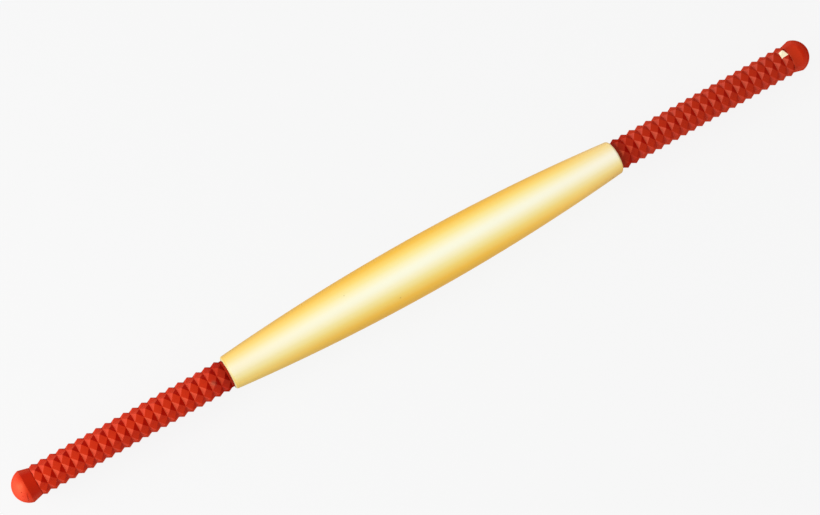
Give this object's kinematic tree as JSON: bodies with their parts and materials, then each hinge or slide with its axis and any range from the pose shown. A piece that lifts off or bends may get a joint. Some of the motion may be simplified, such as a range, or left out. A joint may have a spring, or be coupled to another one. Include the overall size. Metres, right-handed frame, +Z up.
{
  "type": "juggling club",
  "caption": "Double-handled juggling club: a cream spindle-shaped hollow body on a straight core, with a red faceted soft grip and a domed soft knob at each end.",
  "frame": {"origin": "on the club's axis at mid-length", "axes": "+X along the axis towards the right handle, +Z up, +Y to the far side"},
  "size_m": [0.8, 0.05, 0.05],
  "materials": {
    "shell": "satin pearl cream blow-moulded polyethylene",
    "grip": "matt red thermoplastic rubber, fine grained",
    "knob": "matt red soft moulded rubber",
    "sleeve": "cream moulded polypropylene",
    "insert": "black moulded nylon",
    "bush": "natural white nylon",
    "tube": "drawn, unpolished",
    "plug": "turned",
    "screw": "zinc plated",
    "washer": "zinc plated",
    "pin": "hardened spring steel"
  },
  "bodies": {
    "root": {"body_shell": "shell", "core_tube": "tube", "left_grip": "grip", "left_knob": "knob", "left_handle_sleeve": "sleeve", "left_inner_bush": "bush", "left_knob_insert": "insert", "left_knob_screw": "screw", "left_knob_washer": "washer", "left_end_plug": "plug", "left_plug_pin": "pin", "right_grip": "grip", "right_knob": "knob", "right_handle_sleeve": "sleeve", "right_inner_bush": "bush", "right_knob_insert": "insert", "right_knob_screw": "screw", "right_knob_washer": "washer", "right_end_plug": "plug", "right_plug_pin": "pin"}
  },
  "joints": []
}
